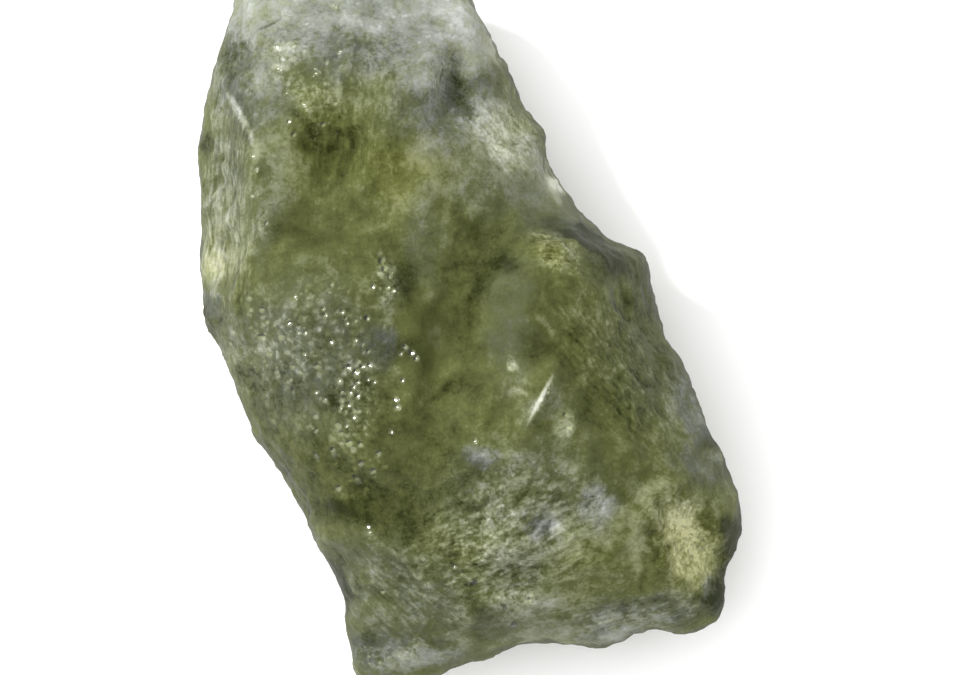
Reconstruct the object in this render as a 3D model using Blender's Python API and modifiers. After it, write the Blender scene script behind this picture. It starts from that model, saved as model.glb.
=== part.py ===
"""Raw moldavite: one natural piece of green glass, scalloped and pitted, lying on a small flat spot.

The tables are in millimetres, seen from above: X to the right, Y towards the narrow end, and Z up
from the surface that the stone lies on. The origin is the middle of the stone's box, at its base.
"""

import math

import bmesh
import bpy
import numpy as np
from mathutils import Matrix, Vector, noise

NAME = "moldavite"
MM = 0.001
GROUND_SIZE = 60 * MM

# Driving dimensions, in millimetres
HEIGHT = 9.0  # from the resting plane to the highest lump
REST_TRIM = 0.30  # taken off the underside's lowest bulge, which leaves the flat resting spot
MIDDLE = (-1.6, 0.2)  # a point in plan from which the whole rim can be seen
BODY_GRID = 0.20  # spacing of the mesh that is sculpted
TRIANGLES = 9400  # kept in the finished solid

# The rim, where the stone is widest: x, y and height, anticlockwise from the narrow end's left corner
RIM = (
    (-9.46, 13.04, 3.3), (-9.90, 11.60, 3.4), (-10.32, 10.10, 3.2), (-10.50, 9.00, 3.0),
    (-10.80, 7.65, 3.1), (-10.86, 5.05, 3.4), (-10.72, 3.85, 3.2), (-10.88, 3.05, 3.0),
    (-10.80, 2.40, 3.1), (-10.60, 1.30, 3.3), (-10.68, 0.55, 3.2), (-10.50, -0.15, 3.0),
    (-9.96, -1.10, 2.9), (-9.62, -1.85, 3.0), (-9.22, -2.75, 3.1), (-8.76, -3.88, 3.0),
    (-8.48, -4.60, 2.8), (-7.60, -5.70, 2.9), (-6.80, -7.15, 3.0), (-6.36, -8.08, 3.2),
    (-6.10, -8.90, 3.0), (-5.66, -9.55, 2.8), (-5.36, -10.24, 2.7), (-5.06, -11.10, 2.6),
    (-4.96, -11.60, 2.5), (-5.02, -12.05, 2.4), (-4.70, -12.90, 2.3), (-4.62, -13.60, 2.3),
    (-4.36, -14.15, 2.2), (-3.68, -14.52, 2.1), (-2.60, -14.46, 2.1), (-1.60, -14.10, 2.2),
    (-0.70, -13.72, 2.3), (1.16, -13.08, 2.4), (1.96, -12.76, 2.3), (2.90, -12.68, 2.2),
    (3.70, -12.78, 2.1), (4.60, -12.92, 2.1), (5.40, -12.84, 2.2), (6.10, -12.50, 2.4),
    (6.90, -12.06, 2.6), (7.80, -12.10, 2.6), (8.80, -12.26, 2.5), (9.50, -12.06, 2.5),
    (9.94, -11.60, 2.6), (10.18, -10.80, 2.8), (10.10, -10.20, 2.9), (10.22, -9.55, 2.9),
    (10.70, -8.92, 2.8), (10.86, -8.25, 2.7), (10.72, -6.80, 2.8), (10.38, -6.00, 3.0),
    (10.14, -5.08, 3.1), (9.74, -4.60, 3.0), (9.40, -3.80, 2.9), (8.94, -2.72, 2.9),
    (8.66, -1.90, 3.0), (8.40, -1.30, 3.2), (7.92, -0.80, 3.3), (7.62, 0.05, 3.2), (7.30, 1.00, 3.1),
    (7.14, 1.75, 3.2), (7.08, 2.50, 3.4), (6.82, 2.94, 3.5), (6.10, 3.26, 3.4), (5.14, 3.72, 3.2),
    (4.28, 4.62, 3.0), (3.50, 5.60, 2.9), (3.12, 6.45, 2.8), (2.98, 7.10, 2.7), (3.04, 7.64, 2.7),
    (2.82, 8.06, 2.6), (2.26, 8.46, 2.5), (1.86, 9.05, 2.5), (1.70, 9.90, 2.5), (1.46, 10.42, 2.5),
    (0.98, 10.95, 2.6), (0.92, 11.45, 2.7), (0.50, 12.30, 2.8), (0.14, 13.04, 2.9),
    (-0.50, 13.74, 3.0), (-1.60, 14.22, 3.0), (-3.60, 14.50, 2.9), (-6.00, 14.56, 2.9),
    (-8.00, 14.36, 3.0), (-9.08, 13.84, 3.2),
)

# Survey of the upper side: plan place and height
UPPER = (
    # narrow end
    (-8.2, 12.6, 5.4), (-4.6, 13.2, 5.7), (-1.4, 12.6, 5.3), (-8.4, 10.2, 6.2), (-4.6, 10.4, 7.0),
    (-1.2, 10.0, 6.5), (0.6, 9.4, 5.4),
    # left flank and its ridge
    (-10.2, 8.4, 5.0), (-8.9, 7.4, 6.8), (-8.3, 4.8, 7.3), (-10.2, 4.6, 5.3), (-8.3, 2.4, 7.2),
    (-10.1, 1.4, 5.2), (-9.0, 0.4, 6.5),
    # hollow below the narrow end, and the pale slope on its right
    (-6.0, 6.6, 6.9), (-3.2, 6.9, 7.5), (-0.6, 6.4, 7.4), (1.4, 6.4, 6.4), (-4.6, 4.0, 7.3),
    (2.6, 4.9, 6.1),
    # pitted dome
    (-6.6, -0.8, 7.9), (-4.2, -3.2, 8.2), (-8.6, -1.8, 6.1), (-6.8, -4.6, 6.7), (-3.0, 0.6, 7.9),
    # middle
    (-0.8, -1.0, 7.4), (0.0, 3.2, 7.4), (1.4, 0.2, 8.5), (2.9, -2.8, 8.8), (0.8, -5.4, 8.3),
    (-1.6, -6.4, 7.7),
    # right shoulder and flank
    (3.6, 3.2, 7.6), (6.0, 1.9, 6.6), (5.0, -0.8, 7.9), (7.0, -1.4, 6.4), (8.6, -4.8, 5.8),
    (6.0, -5.0, 7.6),
    # broad end
    (-4.6, -7.2, 6.8), (-3.6, -9.6, 6.0), (-3.2, -12.8, 4.6), (1.4, -8.4, 7.8), (0.6, -11.0, 6.4),
    (5.0, -8.6, 7.2), (4.4, -11.2, 5.8), (7.6, -10.2, 6.0), (8.6, -7.4, 6.3), (9.2, -10.8, 4.9),
)

# Survey of the underside
LOWER = (
    (-0.8, -1.4, 0.0), (-0.6, 3.4, 0.2), (-1.0, -5.6, 0.2), (3.2, -2.0, 0.3), (-5.0, -0.6, 0.2),
    (-8.8, 1.4, 1.1), (-8.8, 7.4, 1.3), (-5.2, 6.8, 0.7), (-2.0, 8.0, 0.7), (-4.8, 12.2, 1.5),
    (0.0, 10.8, 1.3),
    (1.8, 6.4, 1.0), (5.8, 0.8, 1.1), (7.4, -3.4, 1.1), (8.8, -7.8, 1.3), (4.6, -6.6, 0.6),
    (7.4, -10.6, 1.3),
    (2.2, -10.4, 0.8), (-3.0, -12.4, 1.2), (-3.4, -8.4, 0.8), (-7.4, -3.6, 1.1),
)

# Scalloped hollows of the upper side: x, y, half length, half width, depth and turn in degrees
UPPER_HOLLOWS = (
    (-0.9, 9.3, 1.9, 1.1, 0.55, 70), (-5.6, 7.0, 2.1, 1.5, 0.60, 110), (-6.4, 4.0, 1.8, 0.9, 0.45, -8),
    (-9.5, 10.6, 1.1, 0.8, 0.25, 80), (-7.0, 9.4, 1.3, 1.0, 0.25, 30), (-2.8, 11.7, 2.0, 1.4, 0.30, 20),
    (-6.4, 12.4, 1.7, 1.1, 0.25, 0), (-3.4, 5.2, 1.7, 1.2, 0.30, 60), (-2.6, 2.4, 1.5, 0.8, 0.30, -60),
    (0.4, 3.4, 1.9, 1.2, 0.40, 65), (0.0, 6.0, 1.8, 1.4, 0.25, 20), (2.6, 4.6, 1.5, 0.9, 0.20, -50),
    (-0.9, -0.4, 2.2, 1.4, 0.30, 70), (-1.2, -2.9, 1.4, 1.0, 0.25, 35), (3.4, -0.9, 1.4, 0.9, 0.30, -55),
    (4.6, -3.2, 2.1, 1.2, 0.35, -60), (6.4, -0.2, 2.3, 1.0, 0.25, -62), (1.5, -3.6, 1.4, 1.0, 0.25, 60),
    (3.9, -5.2, 1.6, 0.9, 0.25, -70), (-3.7, -6.6, 2.6, 1.2, 0.40, -18), (-5.6, -4.9, 1.6, 1.0, 0.22, -60),
    (0.8, -6.7, 1.9, 1.3, 0.22, 20), (3.4, -7.4, 1.5, 0.9, 0.22, 40), (6.8, -9.4, 1.7, 0.75, 0.35, 85),
    (8.7, -8.6, 2.1, 1.3, 0.35, -65), (6.4, -6.7, 1.5, 1.0, 0.22, 20), (-2.0, -10.6, 2.4, 1.5, 0.22, -10),
    (1.4, -10.0, 1.8, 1.1, 0.22, 25), (4.4, -10.6, 1.7, 0.9, 0.22, 15), (-3.2, -12.7, 1.4, 0.9, 0.22, -20),
    (9.3, -5.6, 1.3, 0.9, 0.22, -70), (-8.3, -0.6, 1.4, 0.9, 0.20, 60), (-9.9, 5.9, 1.9, 0.8, 0.22, 88),
    (-9.8, 2.6, 1.6, 0.8, 0.22, 84), (1.9, 7.8, 1.3, 0.8, 0.22, -45),
)

# Scalloped hollows of the underside
LOWER_HOLLOWS = (
    (-6.8, 9.8, 2.6, 1.7, 0.45, 70), (-2.6, 11.6, 2.0, 1.4, 0.35, 10), (-8.2, 4.2, 2.2, 1.5, 0.40, 85),
    (-3.8, 5.4, 2.0, 1.4, 0.25, 40), (0.4, 7.4, 2.1, 1.5, 0.35, -60), (4.2, 2.6, 2.2, 1.3, 0.40, -45),
    (6.6, -1.8, 2.4, 1.5, 0.35, -65), (8.4, -6.0, 2.2, 1.4, 0.35, -70), (5.2, -5.0, 1.9, 1.3, 0.22, 30),
    (7.6, -10.0, 2.1, 1.5, 0.35, 20), (3.0, -9.4, 2.2, 1.4, 0.35, 15), (-1.4, -10.2, 2.3, 1.5, 0.35, -30),
    (-3.6, -13.0, 1.4, 1.0, 0.25, 0), (-5.6, -6.4, 2.2, 1.2, 0.35, -55), (-7.8, -1.6, 2.0, 1.4, 0.35, -60),
)

# Raised ridges of the upper side: height, half width, and the plan places that each runs through
UPPER_RIDGES = (
    (0.30, 0.50, ((-9.2, 9.2), (-8.6, 7.0), (-8.3, 4.2), (-8.7, 2.2), (-9.4, 1.2))),
    (0.28, 0.45, ((-8.6, 1.6), (-7.2, 2.6), (-5.2, 2.8), (-3.4, 1.9), (-2.2, 0.2), (-2.2, -2.6), (-2.7, -4.2))),
    (0.35, 0.45, ((3.3, -1.9), (2.7, -3.0), (2.1, -4.2))),
    (0.28, 0.50, ((0.5, -0.6), (0.6, 0.9), (1.3, 1.8), (2.4, 2.2))),
    (0.25, 0.40, ((-6.4, -8.0), (-4.8, -8.5), (-3.0, -8.9), (-1.6, -9.8), (-0.2, -11.4))),
    (0.25, 0.45, ((0.2, 11.6), (0.5, 10.2), (0.9, 9.0), (1.7, 8.2))),
    (0.28, 0.45, ((6.4, -8.4), (7.2, -7.2), (8.2, -6.4), (9.3, -6.2))),
    (0.20, 0.45, ((0.8, -8.6), (2.2, -8.4), (3.6, -9.2), (5.2, -9.6))),
    (0.20, 0.40, ((4.4, -4.6), (4.6, -5.8), (4.2, -6.8))),
    (0.22, 0.40, ((2.0, 4.2), (3.6, 2.4), (5.4, 0.8), (6.6, -1.2))),
)

# Swellings of the upper side: x, y, half length, half width, height and turn in degrees
UPPER_LUMPS = (
    (3.7, 3.1, 0.9, 0.7, 0.30, 20), (-5.6, 9.7, 0.9, 0.8, 0.25, 0), (-2.6, 9.4, 1.2, 0.9, 0.28, 60),
    (1.5, 0.5, 1.7, 1.0, 0.25, 65), (3.7, -4.2, 0.8, 0.6, 0.22, -70), (2.3, -8.8, 0.8, 0.6, 0.20, 0),
    (5.2, -7.9, 0.9, 0.7, 0.22, 30), (-7.6, 11.4, 0.9, 0.7, 0.20, 0), (0.0, 11.9, 0.9, 0.5, 0.20, 70),
    (-6.0, 0.9, 1.8, 1.0, 0.20, -10), (7.7, -0.6, 0.8, 0.5, 0.15, -60), (10.0, -7.6, 0.9, 0.6, 0.20, 80),
)

# How blunt the edge is: a higher first power keeps each side full further out, a higher second one rounds it
EDGE_REACH, EDGE_ROUNDNESS = 8, 2.1
SPREAD = 0.8  # under 1, sends more of the ball's points to the middle, where the stone is flattest
SURVEY_SOFTNESS = 1.6  # how widely a surveyed height rounds over

# The etched skin: size of its cups and their depth, and of the slow swells that they ride on
SWELL_SIZE, SWELL_HEIGHT = 3.4, 0.16
CUP_SIZE, CUP_DEPTH = 1.3, 0.15
GRAIN_SIZE, GRAIN_HEIGHT = 0.75, 0.045
WANDER_SIZE, WANDER = 1.6, 0.35  # how the outlines of hollows and ridges stray
STEEPEST = 0.5  # strokes meant for one side fade out where the surface turns past this slope of its normal
CREST = 1.4  # how sharp a ridge's crest is

GREEN = (0.16, 0.19, 0.055, 1.0)


def closed_curve(points, steps=8):
    """A smooth closed line through the points (Catmull-Rom), with this many steps between two of them."""
    points = np.array(points, float)
    before, after, beyond = (np.roll(points, shift, axis=0) for shift in (1, -1, -2))
    share = (np.arange(steps) / steps)[:, None, None]
    return (
        0.5
        * (
            2 * points
            + (after - before) * share
            + (2 * before - 5 * points + 4 * after - beyond) * share**2
            + (3 * points - before - 3 * after + beyond) * share**3
        )
    ).transpose(1, 0, 2).reshape(-1, points.shape[1])


def rim_towards(bearing):
    """The rim's distance from MIDDLE, and its height, on each bearing."""
    line = closed_curve(RIM)
    east, north = (line[:, :2] - MIDDLE).T
    bearings = np.arctan2(north, east)
    order = np.argsort(bearings)
    reach = np.interp(bearing, bearings[order], np.hypot(east, north)[order], period=2 * math.pi)
    height = np.interp(bearing, bearings[order], line[order, 2], period=2 * math.pi)
    return reach, height


def surveyed(survey, plan):
    """Heights at the plan places, of the smooth surface through the survey's points."""
    survey = np.array(survey, float)

    def spread(a, b):
        return np.sqrt(((a[:, None, :] - b[None, :, :]) ** 2).sum(2) + SURVEY_SOFTNESS**2)

    middle = survey[:, 2].mean()
    shares = np.linalg.solve(spread(survey[:, :2], survey[:, :2]), survey[:, 2] - middle)
    return middle + spread(plan, survey[:, :2]) @ shares


def rough_body():
    """The overall form: a ball whose equator is drawn out to the rim and whose halves follow the surveys."""
    bm = bmesh.new()
    bmesh.ops.create_icosphere(bm, subdivisions=7, radius=1.0)
    ball = np.array([vert.co for vert in bm.verts])
    outward = np.hypot(ball[:, 0], ball[:, 1])
    reach, rim = rim_towards(np.arctan2(ball[:, 1], ball[:, 0]))
    share = np.minimum(outward, 1) ** SPREAD
    direction = ball[:, :2] / np.maximum(outward, 1e-9)[:, None]
    plan = np.array(MIDDLE) + direction * (share * reach)[:, None]
    fullness = (1 - share**EDGE_REACH) ** (1 / EDGE_ROUNDNESS)
    surface = np.where(ball[:, 2] > 0, surveyed(UPPER, plan), surveyed(LOWER, plan))
    height = rim + (surface - rim) * fullness
    for vert, (x, y), z in zip(bm.verts, plan, height):
        vert.co = (x, y, z)
    mesh = bpy.data.meshes.new(NAME)
    bm.to_mesh(mesh)
    bm.free()
    return mesh


def through_modifier(mesh, kind, **settings):
    """The mesh that a modifier of this kind makes of this one."""
    carrier = bpy.data.objects.new(NAME + "_carrier", mesh)
    bpy.context.scene.collection.objects.link(carrier)
    modifier = carrier.modifiers.new(kind.lower(), kind)
    for setting, value in settings.items():
        setattr(modifier, setting, value)
    graph = bpy.context.evaluated_depsgraph_get()
    made = bpy.data.meshes.new_from_object(carrier.evaluated_get(graph))
    bpy.data.objects.remove(carrier)
    bpy.data.meshes.remove(mesh)
    return made


def even_mesh(mesh):
    """The same form on an even mesh, in which every place can be sculpted alike."""
    return through_modifier(mesh, "REMESH", mode="VOXEL", voxel_size=BODY_GRID)


def fewer_faces(mesh):
    ratio = TRIANGLES / (2 * len(mesh.polygons))
    return through_modifier(mesh, "DECIMATE", ratio=ratio, use_collapse_triangulate=True)


class Skin:
    """The points of the mesh being sculpted, with their normals, moved by the strokes below."""

    def __init__(self, mesh):
        self.mesh = mesh
        self.read()

    def read(self):
        count = len(self.mesh.vertices)
        flat = np.empty(count * 3, np.float32)
        self.mesh.vertices.foreach_get("co", flat)
        self.points = flat.reshape(-1, 3).astype(float)
        flat = np.empty(count * 3, np.float32)
        self.mesh.vertex_normals.foreach_get("vector", flat)
        self.normals = flat.reshape(-1, 3).astype(float)

    def push(self, amount):
        """Moves each point along its normal, and reads the new normals."""
        self.points += self.normals * amount[:, None]
        self.mesh.vertices.foreach_set("co", self.points.astype(np.float32).ravel())
        self.mesh.update()
        self.read()

    def facing(self, up):
        """1 where the skin looks up, or down for up = -1, fading to 0 where it turns over the rim."""
        return np.clip(self.normals[:, 2] * up / STEEPEST, 0, 1)

    def strayed(self):
        """The plan places, each moved a little at random, so that no hollow has a drawn outline."""
        moved = [noise.noise_vector(Vector(p) / WANDER_SIZE)[:2] for p in self.points]
        return self.points[:, :2] + WANDER * np.array(moved)

    def noise(self, size, octaves, offset=0.0):
        shift = Vector((offset, offset, offset))
        return np.array([noise.fractal(Vector(p) / size + shift, 1.0, 2.0, octaves) for p in self.points])

    def cells(self, size, offset=0.0):
        """Distance to the nearest and second nearest of the scattered cup middles, in cup sizes."""
        shift = Vector((offset, offset, offset))
        return np.array([noise.voronoi(Vector(p) / size + shift)[0][:2] for p in self.points])


def patch(plan, x, y, half_length, half_width, turn):
    """Squared distance from a patch's middle, in shares of its half length and half width."""
    angle = math.radians(turn)
    along = (plan[:, 0] - x) * math.cos(angle) + (plan[:, 1] - y) * math.sin(angle)
    across = (plan[:, 1] - y) * math.cos(angle) - (plan[:, 0] - x) * math.sin(angle)
    return (along / half_length) ** 2 + (across / half_width) ** 2


def distance_to_path(plan, path):
    """Distance in plan from each place to a line of straight runs."""
    nearest = np.full(len(plan), np.inf)
    for start, end in zip(np.array(path[:-1]), np.array(path[1:])):
        run = end - start
        share = np.clip(((plan - start) @ run) / (run @ run), 0, 1)
        nearest = np.minimum(nearest, np.hypot(*(plan - start - share[:, None] * run).T))
    return nearest


def hollow_out(skin, hollows, up):
    plan = skin.strayed()
    deepest = np.zeros(len(plan))
    for x, y, half_length, half_width, depth, turn in hollows:
        bowl = 1 - patch(plan, x, y, half_length, half_width, turn)
        deepest = np.maximum(deepest, depth * np.maximum(bowl, 0))
    skin.push(-deepest * skin.facing(up))


def raise_ridges(skin, ridges):
    plan = skin.strayed()
    rise = np.zeros(len(plan))
    for height, half_width, path in ridges:
        nearness = np.maximum(1 - distance_to_path(plan, path) / (2 * half_width), 0)
        rise = np.maximum(rise, height * nearness**CREST)
    skin.push(rise * skin.facing(1))


def raise_lumps(skin, lumps):
    plan = skin.strayed()
    rise = np.zeros(len(plan))
    for x, y, half_length, half_width, height, turn in lumps:
        rise += height * np.exp(-patch(plan, x, y, half_length, half_width, turn))
    skin.push(rise * skin.facing(1))


def etch(skin):
    """The skin that slow solution leaves: swells, rounded cups that meet in ridges, and a fine grain."""
    skin.push(SWELL_HEIGHT * skin.noise(SWELL_SIZE, 2))
    near, second = skin.cells(CUP_SIZE).T
    skin.push(-CUP_DEPTH * np.clip(second - near, 0, 1) ** 0.8 + CUP_DEPTH / 3)
    skin.push(GRAIN_HEIGHT * skin.noise(GRAIN_SIZE, 3, offset=7.0))


def settle(mesh):
    """Puts the middle of the mesh's box over the origin, with the lowest bulge still reaching below 0."""
    corners = np.array([vert.co for vert in mesh.vertices])
    low, high = corners.min(0), corners.max(0)
    middle = Vector(((low[0] + high[0]) / 2, (low[1] + high[1]) / 2, low[2] + REST_TRIM))
    upright = MM * HEIGHT / (high[2] - middle.z)
    mesh.transform(Matrix.Diagonal((MM, MM, upright, 1)) @ Matrix.Translation(-middle))


def ground(cutters):
    """A block whose top face is the surface that the stone lies on."""
    bm = bmesh.new()
    bmesh.ops.create_cube(bm, size=GROUND_SIZE)
    bmesh.ops.translate(bm, verts=bm.verts[:], vec=(0, 0, -GROUND_SIZE / 2))
    mesh = bpy.data.meshes.new("ground")
    bm.to_mesh(mesh)
    bm.free()
    block = bpy.data.objects.new("ground", mesh)
    block.hide_render = True
    block.display_type = "WIRE"
    cutters.objects.link(block)
    return block


def green_glass():
    material = bpy.data.materials.new("moldavite_glass")
    material.use_nodes = True
    shader = material.node_tree.nodes["Principled BSDF"]
    shader.inputs["Base Color"].default_value = GREEN
    shader.inputs["Metallic"].default_value = 0.0
    shader.inputs["Roughness"].default_value = 0.25
    shader.inputs["IOR"].default_value = 1.49
    shader.inputs["Transmission Weight"].default_value = 0.8
    return material


def stone(collection, block):
    skin = Skin(even_mesh(rough_body()))
    hollow_out(skin, UPPER_HOLLOWS, 1)
    hollow_out(skin, LOWER_HOLLOWS, -1)
    raise_ridges(skin, UPPER_RIDGES)
    raise_lumps(skin, UPPER_LUMPS)
    etch(skin)
    mesh = fewer_faces(skin.mesh)
    settle(mesh)
    mesh.materials.append(green_glass())
    mesh.shade_smooth()
    body = bpy.data.objects.new(NAME, mesh)
    collection.objects.link(body)
    flat_spot = body.modifiers.new("flat_spot", "BOOLEAN")
    flat_spot.operation = "DIFFERENCE"
    flat_spot.object = block


def main():
    for old in list(bpy.data.objects):
        bpy.data.objects.remove(old)
    collection = bpy.data.collections.new(NAME)
    cutters = bpy.data.collections.new("cutters")
    bpy.context.scene.collection.children.link(collection)
    bpy.context.scene.collection.children.link(cutters)
    stone(collection, ground(cutters))


main()
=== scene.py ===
"""Looks for a raw moldavite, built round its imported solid.

The stone is remade from a copy of the solid as one fine mesh: its skin gets the etched bowls, flow lines and
bubble pits that the solid is too coarse for, and its glass gets its colours. The tables are in millimetres,
seen from above: X to the right, Y towards the narrow end, as in the solid. Turns and bearings are in degrees.
"""

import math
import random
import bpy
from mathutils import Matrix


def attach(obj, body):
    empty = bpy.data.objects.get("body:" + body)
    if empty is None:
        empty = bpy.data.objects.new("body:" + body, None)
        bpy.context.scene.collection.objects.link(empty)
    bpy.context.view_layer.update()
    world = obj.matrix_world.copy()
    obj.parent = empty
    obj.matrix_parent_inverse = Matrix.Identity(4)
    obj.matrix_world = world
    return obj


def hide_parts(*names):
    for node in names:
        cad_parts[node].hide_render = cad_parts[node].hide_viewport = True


bl_info = {
    "name": "Raw Moldavite",
    "version": (1, 0, 0),
    "blender": (4, 5, 0),
    "location": "3D View > Sidebar > Moldavite",
    "description": "Makes the fine skin and glass of a raw moldavite, and the stage it lies on",
    "category": "Add Mesh",
}

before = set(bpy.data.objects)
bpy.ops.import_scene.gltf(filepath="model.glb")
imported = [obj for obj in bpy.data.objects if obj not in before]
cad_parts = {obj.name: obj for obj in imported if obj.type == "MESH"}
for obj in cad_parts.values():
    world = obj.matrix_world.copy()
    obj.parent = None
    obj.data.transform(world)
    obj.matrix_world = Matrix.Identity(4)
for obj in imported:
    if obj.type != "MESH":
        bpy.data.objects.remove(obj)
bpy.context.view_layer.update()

import bmesh
import bpy
import numpy as np
from bpy.props import FloatProperty, FloatVectorProperty, IntProperty, PointerProperty
from mathutils import Vector, noise

MM = 0.001
NODE = "moldavite"

# Points of the solid's loose triangles that are this near, in metres, become one
WELD = 1e-7

# Heights in mm above the resting plane up to which skin stays as it is, and from which it moves freely
LEVEL, FREE = 0.02, 0.32

# Where the photograph is centred, off the middle of the stone, and the height of the stone's rim
VIEW_MIDDLE = (0.43 * MM, -0.46 * MM)
RIM_HEIGHT = 3.0 * MM

# How far the floor lies below the stone
FLOOR_GAP = 0.02 * MM

# Upward share of a direction at which the room's ceiling starts to darken, and at which it is darkest
CEILING = (0.80, 0.96)

# Where the lamps stand, off the stone's rim, and the sides of their squares, in metres
KEY_PLACE, KEY_SIDE = (-0.26, 0.13, 0.32), 0.75
SPARKLE_PLACE, SPARKLE_SIDE = (-0.22, 0.17, 0.20), 0.025

# Where the four colours of the glass stand on the way from its darkest to its brightest tone
TONE_STOPS = (0.0, 0.375, 0.69, 1.0)

# Where a tone of 0 stands on that way, and how far along it a tone of 1 reaches
TONE_START, TONE_REACH = 0.353, 0.3125

# How much each feature of the skin adds to its tone. Relief paints light on crests and shade in hollows,
# specks are painted glints, pits get painted shade, and rim is painted shade along the outline
ADDED_TONES = {
    "mottle": 0.09, "clouds": 0.12, "streaks": 0.12, "painted_shade_relief": 5.0, "specks": 0.7, "pits": -0.3, "rim": -0.9,
}

# Sizes in mm of what etching left, and the height of the rim's crinkles
BOWL, SMALL_BOWL, CRINKLE, RIM_CRINKLE = 0.62, 0.33, 0.9, 1.3
RIM_RELIEF = 0.045

# Sizes in mm of the patterns in the glass
SPECKLE, STROKE, FLAKE, CURL, GRIT, FOAM, CREASE = 0.14, 0.15, 0.20, 0.30, 0.34, 0.36, 0.60

# How many times as long as wide the ridges of the flow and the strokes in the glass are
RIDGE_STRETCH, STROKE_STRETCH = 7, 5.0

# How far in mm the edges of patches stray, and the size in mm of each bend
STRAY, STRAY_SIZE = 0.35, 1.3

# Half width in mm up to which a mark is straight, on a finer mesh
STRAIGHT = 0.16

# Half length in mm up to which a pit is too small for a mesh of its own
SMALL_PIT = 0.1

# Half length in mm up to which a pit's floor shines all over
EVEN_PIT = 0.17

# Shares of a pit's radius: the width of its wall, and the height, place and width of its lip
WALL, LIP_HEIGHT, LIP_PLACE, LIP_WIDTH = 0.25, 0.10, 1.15, 0.22

# How steeply a pit's floor rises towards +X and +Y, so that it mirrors the small lamp upwards
FLOOR_SLOPE = (0.405, -0.313)

# How far the slopes of glints differ from that
SLOPE_SPREAD = 0.06

# Roughness of dull glass, how much smoother glints are, and the roughness of the coat that makes them shine
DULL, SMOOTHED, COAT_DULL = 0.55, 0.2, 0.16

# Gas bubbles cut open at the surface, one by one: x, y and radius
BUBBLES = (
    (-3.47, 2.6, 0.15), (-3.37, 2.26, 0.13), (-3.15, 1.98, 0.14), (-3.83, 1.56, 0.14), (-3.25, 1.52, 0.11),
    (-3.03, 1.4, 0.12), (-2.55, -0.84, 0.14), (-2.73, -1.1, 0.12), (-2.29, -1.08, 0.16),
    (-2.11, -1.28, 0.14), (-4.77, -1.66, 0.15), (-4.51, -1.84, 0.17), (-4.27, -1.62, 0.13),
    (-3.95, -1.56, 0.14), (-5.15, -2.2, 0.15), (-4.43, -2.24, 0.12), (-4.03, -2.12, 0.11),
    (-3.77, -2.22, 0.12), (-4.59, -2.42, 0.13), (-4.73, -2.68, 0.13), (-4.43, -2.78, 0.14),
    (-5.09, -2.96, 0.15), (-4.77, -3.12, 0.13), (-4.57, -3.4, 0.11), (-6.07, -2.62, 0.12),
    (-5.75, -2.96, 0.12), (-6.12, -3.6, 0.13), (-6.11, -4.18, 0.13), (-5.21, -3.98, 0.16),
    (-5.11, -4.28, 0.12), (-4.79, -4.66, 0.15), (-3.63, -5.08, 0.14), (-4.33, -5.48, 0.14),
    (-3.83, -5.78, 0.13), (-5.23, -6.48, 0.14), (-2.93, -2.92, 0.16), (-2.87, -3.22, 0.16),
    (-3.11, -4.2, 0.11), (-8.77, 1.08, 0.13), (-6.93, 1.16, 0.13), (-8.31, -0.48, 0.2),
    (-7.99, -1.14, 0.15), (-7.15, 0.08, 0.15), (-7.47, -0.46, 0.15), (-6.51, -0.28, 0.13),
    (-7.05, -1.64, 0.13), (-5.47, -0.64, 0.12), (-5.73, 0.44, 0.13), (-5.05, 0.54, 0.15),
    (-4.05, 0.3, 0.13), (1.77, -11.92, 0.15), (2.37, -10.92, 0.12), (1.4, -11.2, 0.12), (-5.47, 1.64, 0.11),
    (-4.51, 0.2, 0.11), (-9.51, -0.68, 0.12), (-9.43, -0.28, 0.11), (-6.55, -1.12, 0.11),
    (-6.07, -1.6, 0.12), (-4.35, -4.72, 0.12), (-2.67, -2.16, 0.12), (-7.67, 11.08, 0.12),
    (-7.03, 11.12, 0.11), (-7.63, 10.24, 0.11), (-6.11, 10.04, 0.11), (-5.35, 12.68, 0.11),
    (-5.67, 8.96, 0.12), (-5.35, 8.84, 0.11), (-5.83, 8, 0.11), (-7.19, 8.12, 0.11), (-6.99, 7.6, 0.11),
    (-8.47, 6.24, 0.11), (-8.59, 6.76, 0.11), (-8.63, 5.16, 0.11), (-8.07, 4.08, 0.11), (0.21, -4.56, 0.12),
    (3.81, -3.52, 0.12), (-4.03, -8, 0.12), (-3.99, -8.2, 0.11), (-3.47, -10.6, 0.11), (-0.6, -9.6, 0.11),
    (0.2, -10.2, 0.11),
)

# Patches strewn with smaller bubbles: x, y, half length, half width, turn, how many, radius from, to
BUBBLE_FIELDS = (
    (-3.3, 2.1, 0.9, 0.35, -65, 7, 0.06, 0.1), (-4.7, -2.3, 1.1, 0.45, 80, 14, 0.06, 0.12),
    (-5.2, -3.8, 1.3, 1.2, 30, 30, 0.05, 0.12), (-4.4, -5.8, 1.3, 0.9, 40, 24, 0.05, 0.1),
    (-7.8, 0, 1.3, 1.1, 50, 18, 0.06, 0.13), (-7.2, -1.2, 1.4, 1.2, 0, 20, 0.05, 0.1),
    (-5.6, -0.6, 2.4, 2.2, 0, 60, 0.05, 0.11), (1.2, -9.8, 1.9, 1.3, 10, 46, 0.05, 0.09),
    (1.9, -10.8, 0.8, 0.7, 0, 16, 0.06, 0.1), (-6.2, 10, 1.6, 1.4, 0, 16, 0.06, 0.11),
    (-3, 12.4, 4, 1.2, 0, 14, 0.05, 0.09), (2.2, -5.6, 2.4, 1.6, 0, 34, 0.04, 0.08),
    (0.5, -7.9, 2.2, 1, 20, 34, 0.04, 0.08), (-3, -10.8, 2.6, 1.4, -35, 16, 0.04, 0.08),
)

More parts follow.
